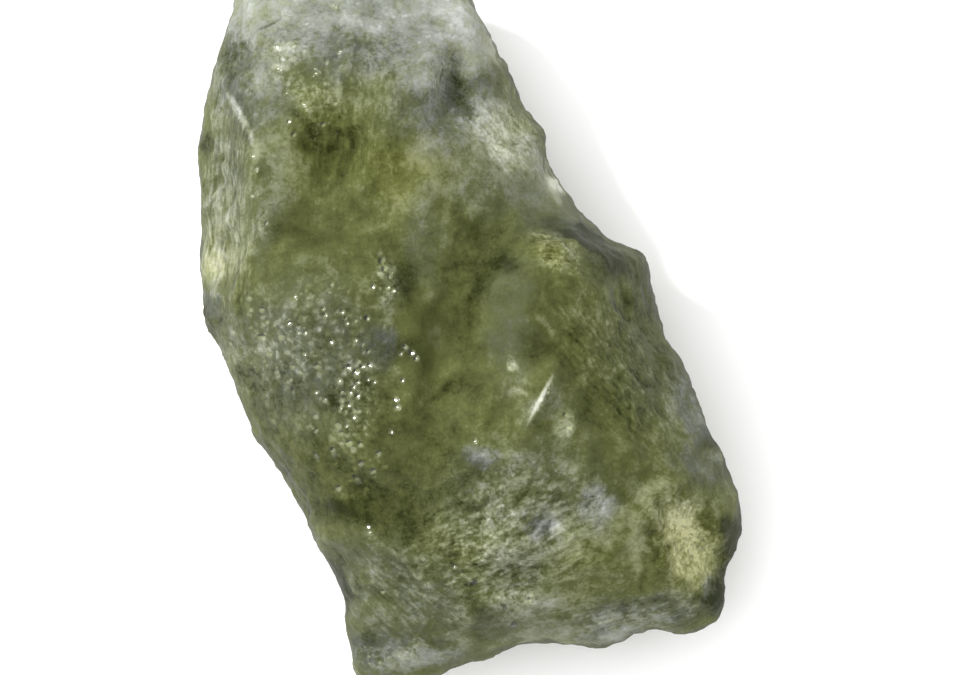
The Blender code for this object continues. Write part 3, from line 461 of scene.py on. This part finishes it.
class Skin:
    """The points of the stone's mesh in millimetres, with their normals, and the strokes that move them.

    start keeps the points of before the strokes, and plan is how they lie seen from above, strayed a little.
    """

    def __init__(self, mesh):
        self.mesh = mesh
        self.read()
        self.start = self.points.copy()
        # How far the strokes moved each point; it paints light on crests and shade in hollows
        self.painted_shade_relief = np.zeros(len(self.points))
        self.places = [Vector(point) for point in self.start]
        stray = [noise.turbulence_vector(place / STRAY_SIZE, 4, False) for place in self.places]
        self.plan = self.start[:, :2] + STRAY * (np.array(stray)[:, :2] - np.mean(stray, axis=0)[:2])

    def read(self):
        count = len(self.mesh.vertices)
        points, normals = np.empty(count * 3, np.float32), np.empty(count * 3, np.float32)
        self.mesh.vertices.foreach_get("co", points)
        self.mesh.vertex_normals.foreach_get("vector", normals)
        self.points = points.reshape(-1, 3).astype(float) / MM
        self.normals = normals.reshape(-1, 3).astype(float)

    def push(self, amount):
        """Moves each point along its normal, but for those of the flat resting spot."""
        freedom = np.clip((self.points[:, 2] - LEVEL) / (FREE - LEVEL), 0, 1)
        self.painted_shade_relief += amount
        self.points += self.normals * (amount * freedom)[:, None]
        self.mesh.vertices.foreach_set("co", (self.points * MM).astype(np.float32).ravel())
        self.mesh.update()
        self.read()

    def upward(self):
        """1 where the skin looks up, fading to 0 over the rim."""
        return np.clip(self.normals[:, 2] / 0.35, 0, 1)

    def rim(self):
        """1 round the outline, where the skin is steep, fading over the shoulders."""
        return np.clip(1 - np.abs(self.normals[:, 2]) / 0.4, 0, 1)

    def patches(self, table):
        """The sum of a table's patches, each by its strength. Narrow ones are straight."""
        total = np.zeros(len(self.plan))
        for strength, *patch in table:
            total += strength * closeness(self.start if patch[3] <= STRAIGHT else self.plan, *patch)
        return total

    def painted(self, table):
        """The values of a table's patches, each painted over those before it."""
        total = np.zeros(len(self.plan))
        for value, *patch in table:
            total += (value - total) * closeness(self.plan, *patch)
        return total

    def strongest(self, table):
        """The strength of whichever of a table's patches is strongest."""
        total = np.zeros(len(self.plan))
        for strength, *patch in table:
            total = np.maximum(total, strength * closeness(self.plan, *patch))
        return total

    def clouds(self, size, octaves, shift=0.0):
        """Soft noise with features of this size in mm."""
        offset = Vector((shift, shift, shift))
        return np.array([noise.fractal(place / size + offset, 0.9, 2.0, octaves) for place in self.places])

    def crests(self, size, shift=0.0):
        """Noise with sharp crests and rounded valleys."""
        offset = Vector((shift, shift, shift))
        places = [place / size + offset for place in self.places]
        return np.array([noise.ridged_multi_fractal(place, 0.9, 2.1, 4, 1.0, 2.0) for place in places])

    def bowls(self, size, shift=0.0):
        """Rounded bowls that meet in sharp crests."""
        offset = Vector((shift, shift, shift))
        warps = [0.35 * noise.noise_vector(place / (1.5 * size)) for place in self.places]
        bent = [place / size + warp + offset for place, warp in zip(self.places, warps)]
        return np.array([noise.voronoi(place)[0][0] for place in bent]) ** 2


def through_modifier(mesh, kind, **values):
    """The mesh that a modifier of this kind makes of this one."""
    carrier = bpy.data.objects.new("carrier", mesh)
    bpy.context.scene.collection.objects.link(carrier)
    modifier = carrier.modifiers.new(kind.lower(), kind)
    for name, value in values.items():
        setattr(modifier, name, value)
    graph = bpy.context.evaluated_depsgraph_get()
    made = bpy.data.meshes.new_from_object(carrier.evaluated_get(graph))
    bpy.data.objects.remove(carrier)
    bpy.data.meshes.remove(mesh)
    return made


def soften(bm, times):
    """Evens out a mesh without shrinking it: each smoothing is followed by a slight sharpening."""
    loose = [vert for vert in bm.verts if vert.co.z > LEVEL * MM]
    axes = {"use_axis_x": True, "use_axis_y": True, "use_axis_z": True}
    for _ in range(times):
        for factor in (0.5, -0.52):
            bmesh.ops.smooth_vert(bm, verts=loose, factor=factor, **axes)


def pit_places(settings):
    """Each bubble pit as x, y, half length, half width and turn."""
    draw = random.Random(settings.seed)
    places = []
    for x, y, radius in BUBBLES:
        places.append((x, y, radius, radius * draw.uniform(0.8, 1.0), draw.uniform(0, 180)))
    for x, y, half_length, half_width, turn, count, smallest, largest in BUBBLE_FIELDS:
        angle = math.radians(turn)
        for _ in range(count):
            reach, bearing = math.sqrt(draw.random()), draw.uniform(0, 2 * math.pi)
            along = half_length * reach * math.cos(bearing)
            across = half_width * reach * math.sin(bearing)
            east = x + along * math.cos(angle) - across * math.sin(angle)
            north = y + along * math.sin(angle) + across * math.cos(angle)
            radius = draw.uniform(smallest, largest)
            places.append((east, north, radius, radius * draw.uniform(0.7, 1.0), draw.uniform(0, 180)))
    return places + list(LONG_BUBBLES)


def finely_divided(mesh, pits):
    """Halves the faces' width on the upper side, and again round the larger pits and the straight marks."""
    bm = bmesh.new()
    bm.from_mesh(mesh)
    soften(bm, 4)
    bm.normal_update()
    upper = [edge for edge in bm.edges if min(vert.normal.z for vert in edge.verts) > 0.15]
    bmesh.ops.subdivide_edges(bm, edges=upper, cuts=1, use_grid_fill=True)
    soften(bm, 2)
    bm.normal_update()
    middles = np.array([(edge.verts[0].co + edge.verts[1].co)[:2] for edge in bm.edges]) / (2 * MM)
    raised = np.array([edge.verts[0].normal.z for edge in bm.edges]) > 0.1
    near = np.zeros(len(middles), bool)
    for x, y, half_length, _, _ in pits:
        if half_length > SMALL_PIT:
            near |= np.hypot(middles[:, 0] - x, middles[:, 1] - y) < half_length * 1.2
    for _, *mark in TONE_PATCHES:
        if mark[3] <= STRAIGHT:
            near |= closeness(middles, *mark) > 0.1
    chosen = [edge for edge, wanted in zip(bm.edges, near & raised) if wanted]
    bmesh.ops.subdivide_edges(bm, edges=chosen, cuts=1, use_grid_fill=True)
    soften(bm, 1)
    bm.to_mesh(mesh)
    bm.free()
    mesh.update()


def etch(skin, settings):
    """Bowls that meet in crests, and crinkles, which slow solution left. Gives how coarse the etching is."""
    coarse = np.clip(0.45 + skin.patches(ROUGH_PATCHES) * skin.upward(), 0.08, 1.4)
    height = settings.grain_height / MM * coarse
    skin.push(height * (0.6 * evened(skin.bowls(BOWL)) + 0.5 * evened(skin.crests(CRINKLE, shift=3.0))))
    skin.push(0.35 * height * evened(skin.bowls(SMALL_BOWL, shift=11.0)))
    skin.push(RIM_RELIEF * skin.rim() * evened(skin.crests(RIM_CRINKLE, shift=29.0)))
    return coarse


def flow(skin, settings):
    """Fine wavy ridges along the way that the molten glass once flowed. Gives their rise, usually up to 1."""
    wander = 0.5 * skin.clouds(1.8, 3, shift=5.0)
    rise = np.zeros(len(skin.points))
    for bearing, spacing, strength, *patch in FLOW_PATCHES:
        angle = math.radians(bearing)
        east, north = skin.start[:, 0], skin.start[:, 1]
        across = (north * math.cos(angle) - east * math.sin(angle) + wander) / spacing
        along = (east * math.cos(angle) + north * math.sin(angle)) / (RIDGE_STRETCH * spacing)
        lines = [noise.ridged_multi_fractal((a, b, 0), 0.9, 2.0, 3, 1.0, 2.0) for a, b in zip(along, across)]
        rise += strength * closeness(skin.plan, *patch) * evened(np.array(lines))
    rise *= skin.upward()
    skin.push(settings.flow_height / MM * rise)
    return rise


def open_pits(skin, pits, settings):
    """Cuts a bubble pit with a leaning floor and a raised lip at each place.

    Gives how near each point is to a large pit, which is smooth inside, and to a small one, whose pale speck
    is a painted glint.
    """
    lowered = skin.points[:, 2].copy()
    pitted, specks = np.zeros(len(skin.points)), np.zeros(len(skin.points))
    for x, y, half_length, half_width, turn in pits:
        angle = math.radians(turn)
        east, north = skin.points[:, 0] - x, skin.points[:, 1] - y
        near = np.flatnonzero((np.hypot(east, north) < 1.6 * half_length) & (skin.normals[:, 2] > 0.3))
        if not len(near):
            continue
        east, north = east[near], north[near]
        along = (east * math.cos(angle) + north * math.sin(angle)) / half_length
        across = (north * math.cos(angle) - east * math.sin(angle)) / half_width
        reach = np.hypot(along, across)
        height = skin.points[near, 2]
        middle = height[np.argmin(reach)] - settings.pit_depth * half_width
        floor = np.minimum(middle + FLOOR_SLOPE[0] * east + FLOOR_SLOPE[1] * north, height)
        wall = np.clip((1 - reach) / WALL, 0, 1)
        lip = LIP_HEIGHT * half_width * np.exp(-(((reach - LIP_PLACE) / LIP_WIDTH) ** 2))
        lowered[near] = np.minimum(lowered[near], height + wall * (floor - height)) + lip
        marked = pitted if half_length > SMALL_PIT else specks
        strength = min(1.0, EVEN_PIT / half_length)
        marked[near] = np.maximum(marked[near], strength * np.exp(-((reach / 1.1) ** 6)))
    outward = (lowered - skin.points[:, 2]) * skin.normals[:, 2]
    skin.push(outward)
    skin.painted_shade_relief -= outward
    return pitted * skin.upward(), specks * skin.upward()


def write_attribute(mesh, name, values):
    attribute = mesh.attributes.new(name, "FLOAT", "POINT")
    attribute.data.foreach_set("value", values.astype(np.float32))


def colour_attributes(skin, coarse, streaks, pitted, specks):
    """Keeps what the glass's colours depend on in the mesh, point by point."""
    shaded = skin.upward()
    mottle, clouds = evened(skin.clouds(2.2, 3, shift=17.0)), evened(skin.clouds(0.7, 3, shift=23.0))
    # Painted shade: the rim is darkest on the side away from the lamps, to the right and low
    unlit = np.clip(0.7 + 0.5 * skin.normals[:, 0] - 0.4 * skin.normals[:, 1], 0.55, 1)
    # Among these, the relief, the specks, the pits and the rim stand for light and shade, not for the glass's
    # own colour
    features = {
        "mottle": mottle, "clouds": clouds * (0.4 + coarse), "streaks": streaks, "painted_shade_relief": skin.painted_shade_relief,
        "specks": specks, "pits": pitted, "rim": skin.rim() * unlit,
    }
    tone = shaded * (skin.painted(GROUND_PATCHES) + skin.patches(TONE_PATCHES))
    for name, strength in ADDED_TONES.items():
        tone += strength * features[name]
    # Frost and painted grey sheen, on its patches and all round the steep outline
    veil = np.maximum(skin.strongest(FROST_AND_SHEEN_PATCHES) * shaded, 0.8 * skin.rim())
    write_attribute(skin.mesh, "tone", tone)
    write_attribute(skin.mesh, "yellow", skin.strongest(YELLOW_PATCHES) * shaded + 0.07 * mottle)
    write_attribute(skin.mesh, "veil", veil * (1 + 0.15 * clouds))
    write_attribute(skin.mesh, "gloss", skin.strongest(GLOSS_PATCHES) * shaded)
    write_attribute(skin.mesh, "foam", skin.strongest(FOAM_PATCHES) * shaded)
    write_attribute(skin.mesh, "coarse", coarse)
    write_attribute(skin.mesh, "pitted", pitted)
    for name, (_, lowest, highest) in STROKES.items():
        rows = [row[2:] for row in FLOW_PATCHES if lowest <= row[0] < highest]
        write_attribute(skin.mesh, name, skin.strongest(rows))


class Value:
    """A socket that Python's operators work on: each adds a Math node."""

    def __init__(self, paint, socket):
        self.paint = paint
        self.socket = socket

    def math(self, operation, *values, clamp=False):
        settings = {"operation": operation, "use_clamp": clamp}
        return self.paint.add("ShaderNodeMath", settings, dict(enumerate(values)))

    def __add__(self, other):
        return self.math("ADD", self, other)

    def __radd__(self, other):
        return self.math("ADD", other, self)

    def __sub__(self, other):
        return self.math("SUBTRACT", self, other)

    def __rsub__(self, other):
        return self.math("SUBTRACT", other, self)

    def __mul__(self, other):
        return self.math("MULTIPLY", self, other)

    def __rmul__(self, other):
        return self.math("MULTIPLY", other, self)

    def __abs__(self):
        return self.math("ABSOLUTE", self)

    def twin(self, output):
        """Another output of the same node."""
        return Value(self.paint, self.socket.node.outputs[output])

    def clamped(self):
        return self.math("ADD", self, 0.0, clamp=True)


class Paint:
    """Adds nodes to a material or a world, in front of its shader."""

    def __init__(self, owner):
        owner.use_nodes = True
        self.tree = owner.node_tree
        shader = "Background" if "Background" in self.tree.nodes else "Principled BSDF"
        self.shader = self.tree.nodes[shader]

    def add(self, kind, settings=None, inputs=None, output=0):
        """Adds a node: its settings first, then its sockets' values or links. Gives one output."""
        node = self.tree.nodes.new(kind)
        for name, value in (settings or {}).items():
            if name == "stops":
                self.set_stops(node.color_ramp, value)
            else:
                setattr(node, name, value)
        self.fill(node, inputs or {})
        return Value(self, node.outputs[output])

    def set_stops(self, ramp, stops):
        for _ in stops[2:]:
            ramp.elements.new(0.5)
        for element, (position, tint) in zip(ramp.elements, stops):
            element.position = position
            element.color = (*tint, 1.0)

    def fill(self, node, inputs):
        """Links a node's sockets where they are given a Value, and sets them otherwise."""
        for key, value in inputs.items():
            if isinstance(value, Value):
                self.tree.links.new(value.socket, node.inputs[key])
            else:
                node.inputs[key].default_value = value

    def attribute(self, name):
        return self.add("ShaderNodeAttribute", {"attribute_name": name}, output="Fac")

    def noise(self, place, size, detail=2.0, roughness=0.5):
        """Noise round 0, mostly between -0.5 and 0.5, with features of this size in mm."""
        inputs = {"Vector": place, "Scale": 1 / (size * MM), "Detail": detail, "Roughness": roughness}
        return self.add("ShaderNodeTexNoise", None, inputs, "Fac") - 0.5

    def threads(self, place, size, width):
        """1 along thin wavy lines, falling to 0 at this share of noise on either side."""
        return (1.0 - abs(self.noise(place, size, 3.0, 0.6)) * (1 / width)).clamped()

    def cells(self, place, size, output):
        """Cells of this size in mm: the distance from a cell's middle, or a colour of its own."""
        return self.add("ShaderNodeTexVoronoi", None, {"Vector": place, "Scale": 1 / (size * MM)}, output)

    def turned(self, place, turn, stretch):
        """Coordinates along and across a bearing, drawn out along it."""
        inputs = {"Vector": place, "Rotation": (0, 0, math.radians(turn)), "Scale": (stretch, 1, 1)}
        return self.add("ShaderNodeMapping", {"vector_type": "TEXTURE"}, inputs)

    def vector(self, operation, *values):
        return self.add("ShaderNodeVectorMath", {"operation": operation}, dict(enumerate(values)))

    def third(self, place):
        """The third value of a vector or a colour."""
        return self.add("ShaderNodeSeparateXYZ", None, {0: place}, "Z")

    def rise(self, value, low, high):
        """0 below one value, 1 above another, and a smooth step between."""
        inputs = {"Value": value, "From Min": low, "From Max": high}
        return self.add("ShaderNodeMapRange", {"interpolation_type": "SMOOTHSTEP"}, inputs)

    def ramp(self, share, *stops):
        return self.add("ShaderNodeValToRGB", {"stops": stops}, {"Fac": share})

    def mix(self, share, first, second, blend="MIX"):
        """A colour between two: the Mix node's inputs 6 and 7, and its output 2."""
        settings = {"data_type": "RGBA", "blend_type": blend, "clamp_factor": True}
        return self.add("ShaderNodeMix", settings, {0: share, 6: first, 7: second}, 2)

    def lean(self, share, first, second):
        """A vector between two: the Mix node's inputs 4 and 5, and its output 1."""
        settings = {"data_type": "VECTOR", "clamp_factor": True}
        return self.add("ShaderNodeMix", settings, {0: share, 4: first, 5: second}, 1)


def glass_colour(paint, settings, place, speckle, gloss):
    """The tone picks a green and a grey, yellowness tints the green, and frosting with a painted grey sheen
    mixes the two.
    """
    coarse, veil, yellow = (paint.attribute(name) for name in ("coarse", "veil", "yellow"))
    grit = paint.noise(place, GRIT, 2.0, 0.6)
    creases, painted_glint_curls = paint.threads(place, CREASE, 0.06), paint.threads(place, CURL, 0.12)
    bubble = paint.cells(place, FOAM, "Distance")
    foam = (paint.rise(bubble, 0.45, 0.2) * 1.3 - paint.rise(bubble, 0.4, 0.7)) * paint.attribute("foam")
    fine = (speckle * 1.6 + grit) * (coarse * 0.8 + 0.27) - creases * coarse * 0.5
    # Pale curls in the glossy patches are painted glints on crinkled skin
    lightness = paint.attribute("tone") + fine + painted_glint_curls * gloss * 0.7 + foam * 0.3
    for name, (turn, _, _) in STROKES.items():
        strokes = paint.noise(paint.turned(place, turn, STROKE_STRETCH), STROKE, 1.0)
        lightness += strokes * paint.attribute(name) * 1.8
    share = (lightness * TONE_REACH + TONE_START).clamped()
    greens = (settings.deep_green, settings.green, settings.pale_green, settings.bright_green)
    greys = (settings.deep_grey, settings.grey, settings.pale_grey, settings.bright_grey)
    glass, grey_frost_and_sheen = (paint.ramp(share, *zip(TONE_STOPS, tints)) for tints in (greens, greys))
    warm = paint.mix(yellow.clamped(), glass, (*settings.yellow, 1.0), "MULTIPLY")
    # How far the frost and the painted sheen grey the green
    frost_and_sheen_share = (veil * (grit * 2.0 + 1.0)).clamped()
    return paint.mix(frost_and_sheen_share, warm, grey_frost_and_sheen)


def glints(paint, place, gloss):
    """How much skin glints, in larger pits and in flakes of glossy patches, and which way it faces there."""
    pitted = paint.attribute("pitted")
    flake = paint.cells(place, FLAKE, "Color")
    chosen = paint.rise(paint.third(flake), 0.55, 0.65)
    facet = paint.rise(flake.twin("Distance"), 0.42, 0.34) * chosen * gloss * (1.0 - pitted)
    steepest = (-FLOOR_SLOPE[0] - SLOPE_SPREAD, -FLOOR_SLOPE[1] - SLOPE_SPREAD, 1.0)
    mirror = paint.vector("MULTIPLY_ADD", flake, (2 * SLOPE_SPREAD, 2 * SLOPE_SPREAD, 0.0), steepest)
    normal = paint.add("ShaderNodeNewGeometry", output="Normal")
    facing = paint.lean(facet + pitted * 1.1, normal, mirror)
    return (facet + pitted).clamped(), paint.vector("NORMALIZE", facing)


def glass_material(settings):
    """Green natural glass, dull but for its glints, which tints the light that passes inside."""
    material = bpy.data.materials.new("moldavite_glass")
    paint = Paint(material)
    place = paint.add("ShaderNodeTexCoord", output="Object")
    speckle = paint.noise(place, SPECKLE, 2.0, 0.7)
    gloss = paint.attribute("gloss")
    smooth, facing = glints(paint, place, gloss)
    strength = 0.6 * (1.0 - smooth)
    bumps = {"Strength": strength, "Distance": 0.08 * MM, "Height": speckle * 0.5, "Normal": facing}
    paint.fill(paint.shader, {
        "Base Color": glass_colour(paint, settings, place, speckle, gloss),
        "Roughness": DULL - smooth * SMOOTHED,
        "Coat Weight": smooth,
        "Coat Roughness": COAT_DULL,
        "Normal": paint.add("ShaderNodeBump", None, bumps),
        "IOR": settings.refraction,
        "Specular IOR Level": settings.shine,
        "Specular Tint": (*settings.shine_colour, 1.0),
        "Transmission Weight": settings.transmission,
    })
    inside = {"Color": (*settings.absorption_colour, 1.0), "Density": settings.absorption_density}
    absorption = paint.add("ShaderNodeVolumeAbsorption", None, inside)
    paint.fill(paint.tree.nodes["Material Output"], {"Volume": absorption})
    return material


def floor_material(settings):
    """Smooth white board with a faint grain."""
    material = bpy.data.materials.new("white_board")
    paint = Paint(material)
    place = paint.add("ShaderNodeTexCoord", output="Object")
    grain = paint.noise(place, 3.0) * 0.02 + 0.99
    black, white = (0.0, 0.0, 0.0, 1.0), (*settings.floor_colour, 1.0)
    paint.fill(paint.shader, {
        "Base Color": paint.mix(grain, black, white), "Roughness": 0.9, "Specular IOR Level": 0.0,
    })
    return material


class MOLDAVITE_OT_stone(bpy.types.Operator):
    """Make the stone's fine skin and its glass"""

    bl_idname = "moldavite.stone"
    bl_label = "Stone"

    def execute(self, context):
        settings = context.scene.moldavite_stone
        noise.seed_set(settings.seed)
        bm = bmesh.new()
        bm.from_mesh(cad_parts[NODE].data)
        bmesh.ops.remove_doubles(bm, verts=bm.verts[:], dist=WELD)
        mesh = bpy.data.meshes.new("moldavite_stone")
        bm.to_mesh(mesh)
        bm.free()
        mesh = through_modifier(mesh, "REMESH", mode="VOXEL", voxel_size=settings.grid)
        mesh.materials.clear()
        pits = pit_places(settings)
        finely_divided(mesh, pits)
        skin = Skin(mesh)
        coarse = etch(skin, settings)
        streaks = flow(skin, settings)
        pitted, specks = open_pits(skin, pits, settings)
        colour_attributes(skin, coarse, streaks, pitted, specks)
        mesh.materials.append(glass_material(settings))
        mesh.shade_smooth()
        piece = bpy.data.objects.new("moldavite_stone", mesh)
        context.scene.collection.objects.link(piece)
        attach(piece, "root")
        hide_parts(NODE)
        return {"FINISHED"}


def white_room(settings):
    """An even white room, darker right above the stone, so that level skin keeps its colour."""
    world = bpy.data.worlds.new("white_room")
    paint = Paint(world)
    direction = paint.add("ShaderNodeTexCoord", output="Generated")
    ceiling = paint.rise(paint.third(direction), *CEILING)
    brightness = settings.surround * (1.0 - ceiling * settings.ceiling_shade)
    paint.fill(paint.shader, {"Color": (1.0, 1.0, 1.0, 1.0), "Strength": brightness})
    return world


def area_light(name, power, side, place):
    """A square lamp at a place off the middle of the stone's rim, turned to it."""
    data = bpy.data.lights.new(name, "AREA")
    data.energy = power
    data.size = side
    lamp = bpy.data.objects.new(name, data)
    lamp.location = Vector((0, 0, RIM_HEIGHT)) + Vector(place)
    lamp.rotation_euler = (-Vector(place)).to_track_quat("-Z", "Y").to_euler()
    bpy.context.scene.collection.objects.link(lamp)


class MOLDAVITE_OT_stage(bpy.types.Operator):
    """Make the white floor, the soft lights and the camera above the stone"""

    bl_idname = "moldavite.stage"
    bl_label = "Stage"

    def execute(self, context):
        settings = context.scene.moldavite_stage
        bm = bmesh.new()
        bmesh.ops.create_grid(bm, x_segments=1, y_segments=1, size=settings.floor_size / 2)
        bmesh.ops.translate(bm, verts=bm.verts[:], vec=(0, 0, -FLOOR_GAP))
        mesh = bpy.data.meshes.new("floor")
        bm.to_mesh(mesh)
        bm.free()
        mesh.materials.append(floor_material(settings))
        floor = bpy.data.objects.new("floor", mesh)
        context.scene.collection.objects.link(floor)

        area_light("key", settings.key_power, KEY_SIDE, KEY_PLACE)
        area_light("sparkle", settings.sparkle_power, SPARKLE_SIDE, SPARKLE_PLACE)
        context.scene.world = white_room(settings)
        context.scene.view_settings.view_transform = "Standard"

        data = bpy.data.cameras.new("camera")
        data.sensor_width = 36.0
        data.lens = data.sensor_width * (settings.camera_height - RIM_HEIGHT) / settings.view_width
        data.clip_start = 0.001
        data.clip_end = 10.0
        camera = bpy.data.objects.new("camera", data)
        camera.location = (VIEW_MIDDLE[0], VIEW_MIDDLE[1], settings.camera_height)
        context.scene.collection.objects.link(camera)
        context.scene.camera = camera
        return {"FINISHED"}


class MOLDAVITE_PT_panel(bpy.types.Panel):
    """The stone and its stage"""

    bl_idname = "MOLDAVITE_PT_panel"
    bl_label = "Raw Moldavite"
    bl_space_type = "VIEW_3D"
    bl_region_type = "UI"
    bl_category = "Moldavite"

    def draw(self, context):
        operators = {"moldavite_stone": "moldavite.stone", "moldavite_stage": "moldavite.stage"}
        for group, operator in operators.items():
            settings = getattr(context.scene, group)
            box = self.layout.box()
            for name in settings.__annotations__:
                box.prop(settings, name)
            box.operator(operator)


CLASSES = (StoneSettings, StageSettings, MOLDAVITE_OT_stone, MOLDAVITE_OT_stage, MOLDAVITE_PT_panel)


def register():
    for cls in CLASSES:
        bpy.utils.register_class(cls)
    bpy.types.Scene.moldavite_stone = PointerProperty(type=StoneSettings)
    bpy.types.Scene.moldavite_stage = PointerProperty(type=StageSettings)


def unregister():
    del bpy.types.Scene.moldavite_stage
    del bpy.types.Scene.moldavite_stone
    for cls in reversed(CLASSES):
        bpy.utils.unregister_class(cls)


def main():
    register()
    bpy.ops.moldavite.stone()
    bpy.ops.moldavite.stage()


if __name__ == "__main__":
    main()
